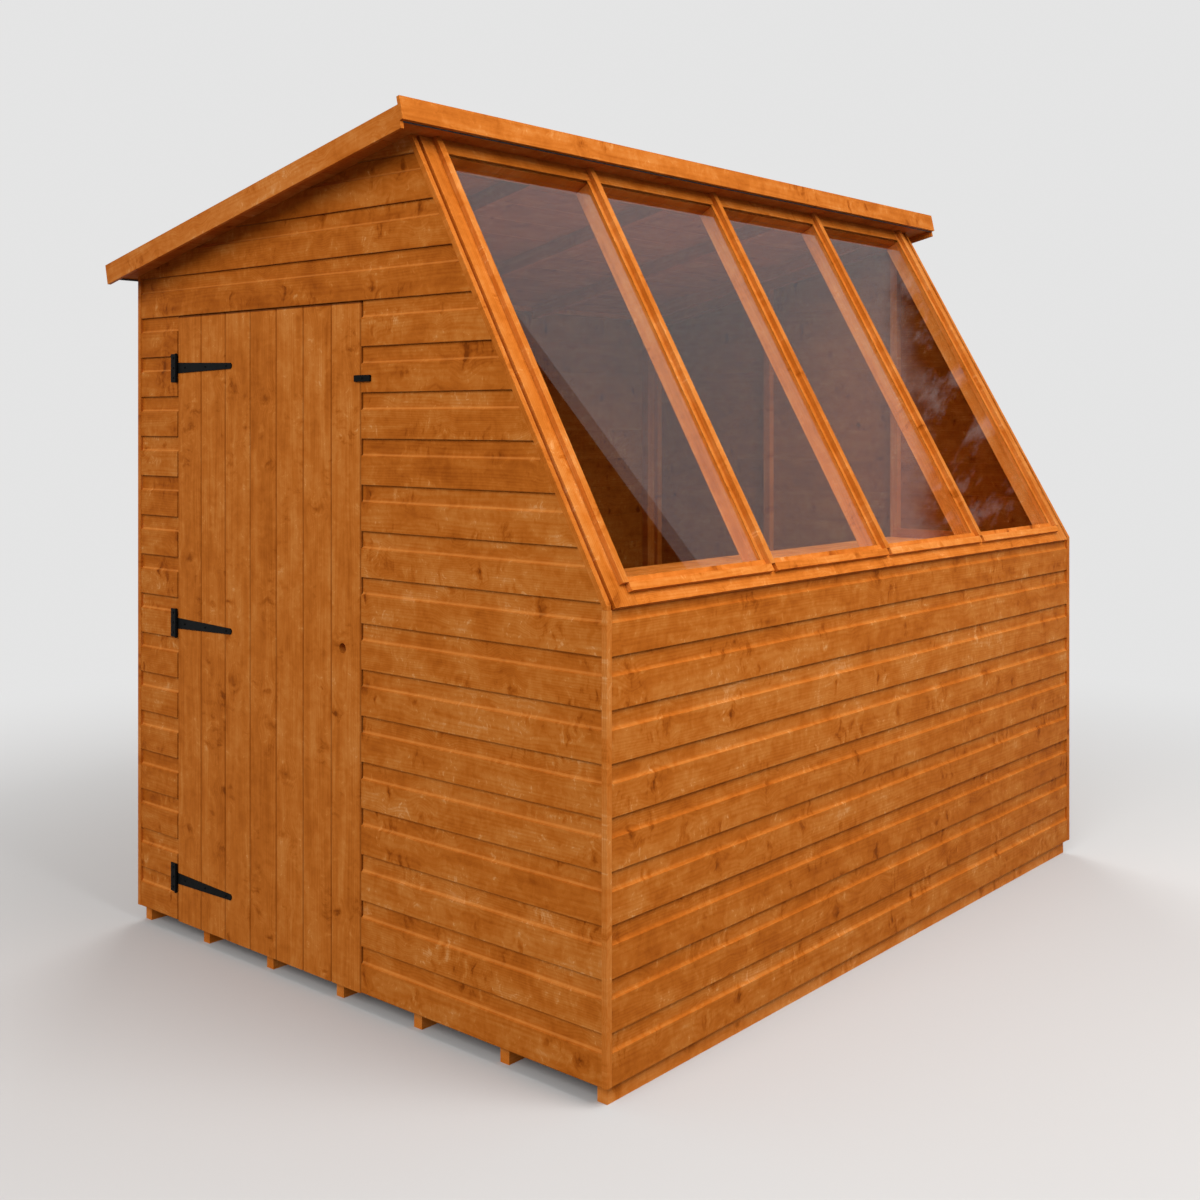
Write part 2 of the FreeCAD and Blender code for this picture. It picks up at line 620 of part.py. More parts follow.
def make_cover_strips():
    """Strips on the stiles and bars: a batten, and between panes also a flange and a tongue."""
    batten = under_roof(slope_strip(LIP_TOP + SEAT, FAR, SEAT, STRIP_PROUD), -SEAT)
    foot = APRON_TOP + SEAT
    head = HEADER_FOOT - SEAT
    core = slope_strip(foot, head, STRIP_BED, SEAT)
    flange = slope_strip(foot, head, STRIP_BED, STRIP_BED + FLANGE_THICKNESS)
    tongue = slope_strip(foot, head, GLASS_BED, STRIP_BED)
    for i, y in enumerate(BAR_CENTRES):
        strip = prism(batten, y - STRIP_WIDTH / 2, y + STRIP_WIDTH / 2)
        if 0 < i < PANE_COUNT:
            widths = ((core, STRIP_WIDTH), (flange, FLANGE_WIDTH), (tongue, STRIP_TONGUE))
            strip = strip.fuse([prism(outline, y - width / 2, y + width / 2) for outline, width in widths])
        save("cover_strip_%d" % (i + 1), strip.removeSplitter().Solids)


def make_bench():
    """Boards on two long rails with cross bearers, and legs under the free rail."""
    y0 = DOOR_FRAME_Y1 + SEAT
    y1 = REAR_FRAME_Y0 - SEAT
    top = FLOOR_TOP + BENCH_HEIGHT
    under = top - BENCH_THICKNESS
    pitch = (BENCH_DEPTH + BENCH_GAP) / BENCH_BOARDS
    boards = []
    for i in range(BENCH_BOARDS):
        x = BENCH_X0 + i * pitch
        boards.append(block(x, y0, under, x + pitch - BENCH_GAP, y1, top))
    save("bench_top", boards)

    rail_top = under - SEAT
    rail_foot = rail_top - FRAME_WIDTH
    free_x = BENCH_X0 + FRAME_DEPTH
    wall_x = BENCH_X1 - FRAME_DEPTH
    frame = [block(BENCH_X0, y0, rail_foot, free_x, y1, rail_top)]
    frame.append(block(wall_x, y0, rail_foot, BENCH_X1, y1, rail_top))
    spacing = (y1 - y0 - FRAME_DEPTH) / (BENCH_BEARERS - 1)
    for i in range(BENCH_BEARERS):
        y = y0 + i * spacing
        frame.append(block(free_x + SEAT, y, rail_foot, wall_x - SEAT, y + FRAME_DEPTH, rail_top))
    for y in (y0, (y0 + y1 - FRAME_WIDTH) / 2):
        frame.append(block(BENCH_X0, y, FLOOR_TOP + SEAT, free_x, y + FRAME_WIDTH, rail_foot - SEAT))
    save("bench_frame", frame)


def make_roof():
    fascia_u1 = CREST_U + FRONT_OVERHANG
    fascia_u0 = fascia_u1 - FASCIA_THICKNESS
    felt_u0 = -BACK_OVERHANG
    felt_u1 = fascia_u0 - SEAT
    deck_u0 = felt_u0 + FELT_THICKNESS + SEAT
    deck_u1 = felt_u1 - FELT_THICKNESS - SEAT
    y0 = Y_DOOR - GABLE_OVERHANG
    y1 = Y_REAR + GABLE_OVERHANG
    deck_y0 = y0 + BARGE_THICKNESS + SEAT
    deck_y1 = y1 - BARGE_THICKNESS - SEAT

    rafter = roof_strip(0, FAR, -RAFTER_DEPTH, -SEAT)
    rafter = inside_slope(right_of(rafter, BACK_FRAME_X1 + SEAT), BAR_INNER - SEAT)
    rafters = []
    for i in range(RAFTER_COUNT):
        y = Y_DOOR + FIRST_RAFTER + i * RAFTER_SPACING
        rafters.append(prism(rafter, y - RAFTER_WIDTH / 2, y + RAFTER_WIDTH / 2))
    save("roof_rafters", rafters)

    up_slope = FreeCAD.Vector(math.cos(ROOF_PITCH), 0, math.sin(ROOF_PITCH))
    off_slope = FreeCAD.Vector(-math.sin(ROOF_PITCH), 0, math.cos(ROOF_PITCH))
    corner_x, corner_z = roof_at(deck_u0, 0)
    corner = FreeCAD.Vector(corner_x, deck_y0, corner_z)
    deck_width = deck_u1 - deck_u0
    count = round(deck_width / BOARD_PITCH)
    run = ALONG_Y * (deck_y1 - deck_y0)
    boards = matched_boards(corner, up_slope, off_slope, run, deck_width, count, ROOF_THICKNESS, ROOF_VEE)
    save("roof_boards", boards)

    inner_w = ROOF_THICKNESS + SEAT
    outer_w = inner_w + FELT_THICKNESS
    felt = [
        roof_at(felt_u0, -FELT_FOLD),
        roof_at(felt_u0, outer_w),
        roof_at(felt_u1, outer_w),
        roof_at(felt_u1, -FELT_FOLD),
        roof_at(felt_u1 - FELT_THICKNESS, -FELT_FOLD),
        roof_at(felt_u1 - FELT_THICKNESS, inner_w),
        roof_at(felt_u0 + FELT_THICKNESS, inner_w),
        roof_at(felt_u0 + FELT_THICKNESS, -FELT_FOLD),
    ]
    save("roof_felt", [prism(felt, deck_y0, deck_y1)])

    fascia = roof_strip(fascia_u0, fascia_u1, FASCIA_FOOT, FASCIA_FOOT + FASCIA_HEIGHT)
    save("front_fascia", [prism(fascia, y0, y1)])
    barge = roof_strip(-BACK_OVERHANG, fascia_u0 - SEAT, BARGE_FOOT, BARGE_FOOT + BARGE_HEIGHT)
    save("bargeboard_door", [prism(barge, y0, y0 + BARGE_THICKNESS)])
    save("bargeboard_rear", [prism(barge, y1 - BARGE_THICKNESS, y1)])


def make_door(holes):
    hole_x = DOOR_X1 - FINGER_HOLE_INSET
    hole_z = MIDDLE_HINGE_Z + FINGER_HOLE_RISE
    start = FreeCAD.Vector(hole_x, FACE_DOOR - LAP, hole_z)
    finger_hole = Part.makeCylinder(FINGER_HOLE_RADIUS, FAR, start, ALONG_Y)
    corner = FreeCAD.Vector(DOOR_X0, FACE_DOOR, DOOR_Z0)
    run = UP * (DOOR_Z1 - DOOR_Z0)
    boards = matched_boards(corner, ALONG_X, ALONG_Y, run, DOOR_WIDTH, DOOR_BOARDS, DOOR_THICKNESS, DOOR_VEE)
    save("door_boards", drill(boards, holes + [finger_hole]))

    y0 = FACE_DOOR + DOOR_THICKNESS + SEAT
    y1 = y0 + LEDGE_THICKNESS
    x0 = OPENING_X0 + DOOR_STOP + LEDGE_PLAY
    x1 = OPENING_X1 - DOOR_STOP - LEDGE_PLAY
    centres = list(HINGES.values())
    half = LEDGE_HEIGHT / 2
    ledges = [block(x0, y0, z - half, x1, y1, z + half) for z in centres]
    save("door_ledges", drill(ledges, holes + [finger_hole]))

    braces = []
    for low, high in zip(centres, centres[1:]):
        z0 = low + half + SEAT
        z1 = high - half - SEAT
        rise = math.atan2(z1 - z0, x1 - x0 - BRACE_WIDTH)
        aside = (math.sin(rise), -math.cos(rise))
        whole = rectangle(x0, z0, x1, z1)
        low_edge = (x0 + BRACE_WIDTH, z0)
        high_edge = (low_edge[0] - aside[0] * BRACE_WIDTH, z0 - aside[1] * BRACE_WIDTH)
        brace = keep(whole, low_edge, (-aside[0], -aside[1]))
        braces.append(prism(keep(brace, high_edge, aside), y0, y1))
    save("door_braces", braces)


def hinge_axis():
    return (DOOR_X0 - DOOR_GAP / 2, FACE_DOOR - HINGE_STANDOFF)


def knuckle(x, y, z0, z1):
    return Part.makeCylinder(KNUCKLE_RADIUS, z1 - z0, FreeCAD.Vector(x, y, z0))


def plate_screw_places(z):
    x = hinge_axis()[0] - (PLATE_WIDTH + KNUCKLE_RADIUS) / 2
    return [(x, z - PLATE_SCREW_SPREAD), (x, z), (x, z + PLATE_SCREW_SPREAD)]


def strap_screw_places(z):
    x = hinge_axis()[0] + STRAP_SCREW_FIRST
    return [(x + i * STRAP_SCREW_PITCH, z) for i in range(STRAP_SCREW_COUNT)]


def make_hinges():
    x, y = hinge_axis()
    back = FACE_DOOR - SEAT
    front = back - LEAF_THICKNESS
    half_root = STRAP_ROOT / 2
    half_tip = STRAP_TIP / 2
    half_plate = PLATE_HEIGHT / 2
    inner = half_root + KNUCKLE_GAP
    plate_edge = x - KNUCKLE_RADIUS - KNUCKLE_GAP
    tip = x + STRAP_LENGTH
    pins = []
    for place, z in HINGES.items():
        bore = Part.makeCylinder(PIN_RADIUS + PIN_CLEARANCE, FAR, FreeCAD.Vector(x, y, z - FAR / 2))
        plate = block(x - PLATE_WIDTH, front, z - half_plate, plate_edge, back, z + half_plate)
        for z0, z1 in ((z - half_plate, z - inner), (z + inner, z + half_plate)):
            tab = block(plate_edge, front, z0, x, back, z1)
            plate = plate.fuse([tab, knuckle(x, y, z0, z1)])
        plate = plate.removeSplitter().cut(bore)
        holes = [screw_hole(a, front, b) for a, b in plate_screw_places(z)]
        save("hinge_plate_" + place, drill([plate], holes))

        outline = [
            (x, z - half_root),
            (tip - TIP_CHAMFER, z - half_tip),
            (tip, z - half_tip + TIP_CHAMFER),
            (tip, z + half_tip - TIP_CHAMFER),
            (tip - TIP_CHAMFER, z + half_tip),
            (x, z + half_root),
        ]
        strap = prism(outline, front, back).fuse(knuckle(x, y, z - half_root, z + half_root))
        strap = strap.removeSplitter().cut(bore)
        holes = [screw_hole(a, front, b) for a, b in strap_screw_places(z)]
        save("hinge_strap_" + place, drill([strap], holes))

        foot = FreeCAD.Vector(x, y, z - half_plate - PIN_END)
        pins.append(Part.makeCylinder(PIN_RADIUS, PLATE_HEIGHT + 2 * PIN_END, foot))
    save("hinge_pins", pins)


def make_turn_button():
    x = OPENING_X1 + BUTTON_INSET
    z = DOOR_Z1 - BUTTON_DROP
    back = FACE_DOOR - BUTTON_GAP
    front = back - BUTTON_THICKNESS
    half_length = BUTTON_LENGTH / 2
    half_width = BUTTON_WIDTH / 2
    corner = BUTTON_CHAMFER
    outline = [
        (x - half_length, z - half_width + corner),
        (x - half_length + corner, z - half_width),
        (x + half_length - corner, z - half_width),
        (x + half_length, z - half_width + corner),
        (x + half_length, z + half_width - corner),
        (x + half_length - corner, z + half_width),
        (x - half_length + corner, z + half_width),
        (x - half_length, z + half_width - corner),
    ]
    pivot = FreeCAD.Vector(x, front - SEAT, z)
    shank = Part.makeCylinder(SCREW_RADIUS, SCREW_LENGTH, pivot, ALONG_Y)
    head = Part.makeCylinder(SCREW_HEAD_RADIUS, SCREW_HEAD, pivot, ALONG_Y * -1)
    hole = Part.makeCylinder(SCREW_RADIUS + PIN_CLEARANCE, SCREW_LENGTH + SCREW_HEAD, pivot, ALONG_Y)
    save("turn_button", [prism(outline, front, back).cut(hole)])
    save("turn_button_screw", [shank.fuse(head).removeSplitter()])
    return hole


def make_shed():
    os.makedirs("parts", exist_ok=True)
    front = FACE_DOOR - SEAT - LEAF_THICKNESS
    plate_places = []
    strap_places = []
    for z in HINGES.values():
        plate_places += plate_screw_places(z)
        strap_places += strap_screw_places(z)
    save("hinge_plate_screws", [screw(x, front, z) for x, z in plate_places])
    save("hinge_strap_screws", [screw(x, front, z) for x, z in strap_places])
    button_hole = make_turn_button()
    plate_holes = [screw_hole(x, front, z) for x, z in plate_places]
    strap_holes = [screw_hole(x, front, z) for x, z in strap_places]
    make_base()
    make_door_gable(plate_holes + [button_hole])
    make_rear_gable()
    make_back_wall()
    make_low_wall()
    make_beads()
    make_glazing_frame()
    make_panes()
    make_cover_strips()
    make_bench()
    make_roof()
    make_door(strap_holes)
    make_hinges()


make_shed()
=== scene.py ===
import json
import math
import random
from collections import namedtuple

import bpy
import numpy as np
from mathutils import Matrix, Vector


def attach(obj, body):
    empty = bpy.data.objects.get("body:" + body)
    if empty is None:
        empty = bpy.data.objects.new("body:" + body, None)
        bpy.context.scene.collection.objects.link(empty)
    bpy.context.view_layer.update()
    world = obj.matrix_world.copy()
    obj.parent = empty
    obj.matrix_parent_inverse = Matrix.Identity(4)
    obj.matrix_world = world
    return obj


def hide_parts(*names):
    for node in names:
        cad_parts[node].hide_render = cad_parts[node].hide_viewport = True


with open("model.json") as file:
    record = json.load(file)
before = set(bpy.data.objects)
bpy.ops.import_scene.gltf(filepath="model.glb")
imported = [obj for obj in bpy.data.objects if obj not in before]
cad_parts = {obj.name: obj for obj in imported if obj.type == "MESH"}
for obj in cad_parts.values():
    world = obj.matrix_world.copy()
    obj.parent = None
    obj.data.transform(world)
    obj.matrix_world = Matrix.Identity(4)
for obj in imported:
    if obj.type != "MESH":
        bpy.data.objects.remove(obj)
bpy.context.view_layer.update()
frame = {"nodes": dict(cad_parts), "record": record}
nodes = frame["nodes"]
random.seed(11)


# Grain directions

GLAZING_PITCH = math.radians(60.3)
ROOF_PITCH = math.radians(12.6)
BRACE_RISE = math.radians(42.2)
BOARD_RUN = 40.0     # metres of figure that each board takes its own stretch of
MERGE_GRID = 1e5     # steps per metre, within which corners count as one


def grain_frames():
    """Sets of square axes that a piece of timber may be cut to: upright, glazing, roof and brace."""
    y = Vector((0, 1, 0))
    frames = [((1, 0, 0), (0, 1, 0), (0, 0, 1))]
    slope = Vector((-math.cos(GLAZING_PITCH), 0, math.sin(GLAZING_PITCH)))
    roof = Vector((math.cos(ROOF_PITCH), 0, math.sin(ROOF_PITCH)))
    brace = Vector((math.cos(BRACE_RISE), 0, math.sin(BRACE_RISE)))
    for along in (slope, roof, brace):
        frames.append((along, y, along.cross(y)))
    return [np.array(f, float) for f in frames]


GRAIN_FRAMES = grain_frames()


def corner_points(mesh):
    """Places of a mesh's vertices."""
    co = np.zeros(len(mesh.vertices) * 3, np.float32)
    mesh.vertices.foreach_get("co", co)
    return co.reshape(-1, 3)


def solid_labels(mesh):
    """Places of the vertices, and the number of the separate solid that each belongs to."""
    co = corner_points(mesh)
    steps = np.round(co * MERGE_GRID).astype(np.int64)
    merged = np.unique(steps, axis=0, return_inverse=True)[1].reshape(-1)
    parent = list(range(merged.max() + 1))

    def root(i):
        while parent[i] != i:
            parent[i] = parent[parent[i]]
            i = parent[i]
        return i

    for polygon in mesh.polygons:
        corners = [root(merged[v]) for v in polygon.vertices]
        for other in corners[1:]:
            parent[root(other)] = root(corners[0])
    return co.astype(float), np.array([root(i) for i in merged])


def mark_grain(obj):
    """Stores each solid's own grain coordinates and a random tone on its vertices.

    The first coordinate runs along the grain, the second across the board and the third through it.
    """
    mesh = obj.data
    co, labels = solid_labels(mesh)
    grain = np.zeros_like(co)
    tone = np.zeros(len(co))
    for label in np.unique(labels):
        members = labels == label
        points = co[members]
        fits = [points @ axes.T for axes in GRAIN_FRAMES]
        local = min(fits, key=lambda fit: round(float(np.prod(np.ptp(fit, axis=0))), 7))
        order = np.argsort(-np.ptp(local, axis=0))
        local = (local - (local.max(0) + local.min(0)) / 2)[:, order]
        local[:, 0] += random.uniform(0, BOARD_RUN)
        grain[members] = local
        tone[members] = random.random()
    vectors = mesh.attributes.new("grain", "FLOAT_VECTOR", "POINT")
    vectors.data.foreach_set("vector", grain.astype(np.float32).ravel())
    tones = mesh.attributes.new("tone", "FLOAT", "POINT")
    tones.data.foreach_set("value", tone.astype(np.float32))


# Shader helpers

LINE_CORE = 0.3    # share of a painted line's half width that has its full strength


def srgb(r, g, b):
    """Linear colour of an sRGB triple in 0 to 255."""
    def linear(v):
        v = v / 255
        return v / 12.92 if v <= 0.04045 else ((v + 0.055) / 1.055) ** 2.4
    return (linear(r), linear(g), linear(b), 1.0)


class Graph:
    """Adds shader nodes to a tree and joins their sockets."""

    def __init__(self, tree):
        self.tree = tree
        tree.nodes.clear()

    def put(self, socket, value):
        if isinstance(value, bpy.types.NodeSocket):
            self.tree.links.new(value, socket)
        elif value is not None:
            socket.default_value = value

    def add(self, kind, inputs=None, **settings):
        node = self.tree.nodes.new(kind)
        for key, value in settings.items():
            setattr(node, key, value)
        for key, value in (inputs or {}).items():
            self.put(node.inputs[key], value)
        return node

    def math(self, operation, a, b=None):
        return self.add("ShaderNodeMath", {0: a, 1: b}, operation=operation).outputs[0]

    def times(self, a, b):
        return self.math("MULTIPLY", a, b)

    def plus(self, a, b):
        return self.math("ADD", a, b)

    def minus(self, a, b):
        return self.math("SUBTRACT", a, b)

    def larger(self, a, b):
        return self.math("MAXIMUM", a, b)

    def absolute(self, a):
        return self.math("ABSOLUTE", a)

    def fraction(self, a):
        return self.math("FRACT", a)

    def length(self, a, b):
        return self.math("SQRT", self.plus(self.times(a, a), self.times(b, b)))

    def vector(self, x, y, z):
        return self.add("ShaderNodeCombineXYZ", {0: x, 1: y, 2: z}).outputs[0]

    def stretch(self, *parts):
        """Vector of three values, each times its own factor."""
        return self.vector(*[self.times(value, factor) for value, factor in parts])

    def split(self, vector):
        return self.add("ShaderNodeSeparateXYZ", {0: vector}).outputs

    def attribute(self, name):
        return self.add("ShaderNodeAttribute", attribute_name=name).outputs

    def place(self):
        return self.add("ShaderNodeTexCoord").outputs["Object"]

    def noise(self, vector, detail, roughness, scale=1.0):
        inputs = {"Vector": vector, "Scale": scale, "Detail": detail, "Roughness": roughness}
        return self.add("ShaderNodeTexNoise", inputs).outputs["Fac"]

    def remap(self, value, low, high, to_low=0.0, to_high=1.0):
        inputs = {0: value, 1: low, 2: high, 3: to_low, 4: to_high}
        return self.add("ShaderNodeMapRange", inputs, interpolation_type="SMOOTHSTEP").outputs[0]

    def line(self, apart, half_width, strength):
        """Soft line where a distance is small."""
        return self.remap(apart, half_width, half_width * LINE_CORE, 0.0, strength)

    def ramp(self, value, stops):
        node = self.add("ShaderNodeValToRGB", {0: value})
        elements = node.color_ramp.elements
        while len(elements) < len(stops):
            elements.new(0.5)
        for element, (place, colour) in zip(elements, stops):
            element.position = place
            element.color = colour
        return node.outputs[0]

    def mix(self, factor, a, b):
        return self.add("ShaderNodeMix", {0: factor, 6: a, 7: b}, data_type="RGBA").outputs[2]

    def bump(self, height, strength, distance):
        inputs = {"Height": height, "Strength": strength, "Distance": distance}
        return self.add("ShaderNodeBump", inputs).outputs[0]

    def shader(self, kind, inputs):
        return self.add(kind, inputs).outputs[0]

    def blend(self, factor, a, b):
        """Mix of two shaders."""
        return self.shader("ShaderNodeMixShader", {0: factor, 1: a, 2: b})

    def output(self, shader):
        self.add("ShaderNodeOutputMaterial", {0: shader})


def new_material(name):
    material = bpy.data.materials.new(name)
    material.use_nodes = True
    return material, Graph(material.node_tree)


# Timber

# Noise in the wood: cells per metre along and across the grain, spread by tone, octaves, roughness
Texture = namedtuple("Texture", "along across spread detail roughness")
SWIRL = Texture(16.0, 20.0, 31.0, 3.0, 0.55)
WANDER = Texture(1.5, 6.0, 40.0, 2.0, 0.55)
CLOUD = Texture(8.0, 15.0, 30.0, 5.0, 0.66)
FEATHER = Texture(56.0, 20.0, 60.0, 4.0, 0.62)
CLUSTER = Texture(6.0, 11.0, 17.0, 2.0, 0.55)
FLECK = Texture(110.0, 60.0, 23.0, 3.0, 0.60)
FIBRE = Texture(9.0, 420.0, 0.0, 4.0, 0.65)
STREAK = Texture(2.2, 46.0, 90.0, 4.0, 0.62)

# Noise values between which a mark fades in
CLUSTER_FADE = 0.50, 0.68
SMUDGE_FADE = 0.47, 0.72
BLEACH_FADE = 0.46, 0.30
FLECK_FADE = 0.56, 0.72
FLECK_CLOUD_FADE = 0.44, 0.60

SWIRL_ALONG, SWIRL_ACROSS = 0.05, 0.045
KNOT_SCALE = 8.0
KNOT_SPREAD = 50.0
KNOT_ALONG, KNOT_ACROSS = 1.5, 0.8
KNOT_RADIUS, KNOT_RADIUS_SPREAD = 0.007, 0.015
KNOT_CORE_FADE = 1.3, 0.2
KNOT_HALO_FALL = -0.12
KNOT_BEND = 0.9
KNOT_CLUSTER = 0.9
CORE_SHADE, CORE_FEATHER = 0.06, 0.34
RING_WIDTH = 0.0052
RING_SHARPNESS = 1.7
RING_WANDER, RING_SWELL = 0.03, 0.006
PITH_DEPTH, PITH_DEPTH_SPREAD, PITH_DEPTH_SHUFFLE = 0.02, 0.08, 7.3
PITH_SIDE_SPREAD, PITH_SIDE_SHUFFLE = 0.14, 13.7
MIDDLE_SHADE = 0.54
FIBRE_RELIEF, RING_RELIEF = 0.6, 0.25
FIBRE_ROUGHNESS = 0.25
DULL_SPECULAR = 0.06


def knot_field(g, along, across, tone, share):
    """Core and wider halo of scattered knots, and the distance across the grain from the nearest one."""
    row = g.plus(g.times(across, KNOT_SCALE), g.times(tone, KNOT_SPREAD))
    cell = g.vector(g.times(along, KNOT_SCALE), row, 0.0)
    knots = g.add("ShaderNodeTexVoronoi", {"Vector": cell, "Scale": 1.0, "Randomness": 1.0},
                  voronoi_dimensions="2D", feature="F1").outputs
    chance = g.add("ShaderNodeSeparateColor", {0: knots["Color"]}).outputs
    offset = g.add("ShaderNodeVectorMath", {0: cell, 1: knots["Position"]}, operation="SUBTRACT").outputs[0]
    apart_along, apart_across = g.split(offset)[:2]
    apart_along = g.times(apart_along, KNOT_ALONG / KNOT_SCALE)
    apart_across = g.times(apart_across, KNOT_ACROSS / KNOT_SCALE)
    radius = g.plus(KNOT_RADIUS, g.times(chance[0], KNOT_RADIUS_SPREAD))
    present = g.math("GREATER_THAN", chance[1], 1.0 - share)
    span = g.math("DIVIDE", g.length(apart_along, apart_across), radius)
    core = g.times(present, g.remap(span, *KNOT_CORE_FADE))
    halo = g.times(present, g.math("EXPONENT", g.times(g.times(span, span), KNOT_HALO_FALL)))
    return core, halo, apart_across


def growth_rings(g, across, through, tone, drift):
    """Late wood of rings about a pith that lies beside and behind the board's face."""
    depth_share = g.fraction(g.times(tone, PITH_DEPTH_SHUFFLE))
    side_share = g.minus(g.fraction(g.times(tone, PITH_SIDE_SHUFFLE)), 0.5)
    depth = g.plus(through, g.plus(PITH_DEPTH, g.times(depth_share, PITH_DEPTH_SPREAD)))
    side = g.plus(across, g.times(side_share, PITH_SIDE_SPREAD))
    radius = g.plus(g.length(side, depth), drift)
    rings = g.math("SINE", g.times(radius, 2 * math.pi / RING_WIDTH))
    return g.math("POWER", g.plus(g.times(rings, 0.5), 0.5), RING_SHARPNESS)


def timber(name, stops, knot_share, figure, streaks, roughness, paint=None):
    """Dip-treated softwood: grain lines, streaks, stain clouds, feathered figure and soft knots.

    figure scales the smudged figure and streaks the lines along the grain. paint changes the colour by place.
    """
    material, g = new_material(name)
    along, across, through = g.split(g.attribute("grain")["Vector"])
    tone = g.attribute("tone")["Fac"]

    def face_noise(texture, u, v):
        place = g.stretch((u, texture.along), (v, texture.across), (tone, texture.spread))
        return g.noise(place, texture.detail, texture.roughness)

    def deep_noise(texture, v):
        depth = g.plus(g.times(through, texture.across), g.times(tone, texture.spread))
        place = g.vector(g.times(along, texture.along), g.times(v, texture.across), depth)
        return g.noise(place, texture.detail, texture.roughness)

    turned = g.stretch((across, SWIRL.across), (tone, SWIRL.spread), (along, SWIRL.along))
    swirl_along = g.minus(face_noise(SWIRL, along, across), 0.5)
    swirl_across = g.minus(g.noise(turned, SWIRL.detail, SWIRL.roughness), 0.5)
    bent_along = g.plus(along, g.times(swirl_along, SWIRL_ALONG))
    bent_across = g.plus(across, g.times(swirl_across, SWIRL_ACROSS))

    core, halo, from_knot = knot_field(g, bent_along, bent_across, tone, knot_share)
    flow = g.minus(across, g.times(g.times(from_knot, halo), KNOT_BEND))
    wander = g.minus(face_noise(WANDER, along, across), 0.5)
    drift = g.plus(g.times(wander, RING_WANDER), g.times(halo, RING_SWELL))
    rings = growth_rings(g, flow, through, tone, drift)

    fibre = deep_noise(FIBRE, flow)
    streak = deep_noise(STREAK, flow)
    cloud = face_noise(CLOUD, bent_along, bent_across)
    feather = face_noise(FEATHER, bent_along, bent_across)
    cluster = g.remap(face_noise(CLUSTER, along, across), *CLUSTER_FADE)
    cluster = g.larger(cluster, g.times(halo, KNOT_CLUSTER))
    smudge = g.times(cluster, g.remap(feather, *SMUDGE_FADE))
    bleach = g.times(cluster, g.remap(feather, *BLEACH_FADE))
    fleck = g.remap(face_noise(FLECK, bent_along, bent_across), *FLECK_FADE)
    fleck = g.times(fleck, g.remap(cloud, *FLECK_CLOUD_FADE))

    layers = [    # value, its middle, and its weight in the shade
        (rings, 0.4, -0.07),
        (fibre, 0.5, 0.22),
        (streak, 0.5, streaks),
        (cloud, 0.5, 0.95 * figure),
        (feather, 0.5, 0.42 * figure),
        (tone, 0.5, 0.14),
        (smudge, 0.0, -0.46 * figure),
        (bleach, 0.0, 0.32 * figure),
        (fleck, 0.0, 0.22 * figure),
    ]
    shade = MIDDLE_SHADE
    for value, middle, weight in layers:
        shade = g.plus(shade, g.times(g.minus(value, middle), weight))
    shade = g.minus(shade, g.times(core, g.plus(CORE_SHADE, g.times(feather, CORE_FEATHER))))
    colour = g.ramp(shade, stops)
    if paint:
        colour = paint(g, colour)

    relief = g.plus(g.times(fibre, FIBRE_RELIEF), g.times(rings, RING_RELIEF))
    g.output(g.shader("ShaderNodeBsdfPrincipled", {
        "Base Color": colour,
        "Roughness": g.plus(roughness, g.times(g.minus(fibre, 0.5), FIBRE_ROUGHNESS)),
        "Normal": g.bump(relief, strength=0.3, distance=0.0004),
        "Specular IOR Level": DULL_SPECULAR}))
    return material


# Painted shade at the joints, on the inner faces and along the door's top, and painted highlights on the
# boards' arrises

def node_box(name):
    """Lowest and highest corner of a node."""
    co = corner_points(nodes[name].data)
    return co.min(0).tolist(), co.max(0).tolist()


DOOR_LOW, DOOR_HIGH = node_box("door_boards")
DOOR_PLANKS = 7
PLANK_COVER = (DOOR_HIGH[0] - DOOR_LOW[0]) / DOOR_PLANKS
WALL_LOW, WALL_HIGH = node_box("low_wall_cladding")
WALL_FOOT, WALL_FACE = WALL_LOW[2], WALL_HIGH[0]
GABLE_FACE = -node_box("door_gable_cladding")[0][1]
SHIPLAP_COVER = 0.114
SHIPLAP_CREST = 0.0395    # from a joint down to the cove's arris, which takes a painted highlight
COVE_REACH = 0.008        # no part of a board's face lies deeper than this
INNER_FACE_DEPTH = 0.011        # the inner faces, darkened with painted shade, lie deeper than this

# Half width and strength of painted lines: painted shade at the joints and a painted shadow along the door's
# top
SHIPLAP_LINE = 0.0018, 0.42
PLANK_LINE = 0.0045, 0.38
TOP_SHADOW_LINE = 0.0055, 0.85
# Fade and strength of the painted highlight on the cove arrises
ARRIS_FADE, ARRIS_STRENGTH = (0.0032, 0.0014), 0.3
# Strength of the painted shade on the inner faces
INSIDE_SHADE_STRENGTH = 0.36
# Colours of the painted shade in the joints, of the painted highlight on the arrises and of the painted shade
# inside
JOINT_SHADE_COLOUR = srgb(74, 28, 4)
ARRIS_HIGHLIGHT_COLOUR = srgb(226, 146, 70)
INSIDE_SHADE_COLOUR = srgb(82, 30, 8)


def joint_lines(g, place, start, pitch, line):
    """Soft lines at even steps along an axis."""
    steps = g.fraction(g.plus(g.times(g.minus(place, start), 1.0 / pitch), 0.5))
    apart = g.times(g.absolute(g.minus(steps, 0.5)), pitch)
    return g.line(apart, *line)


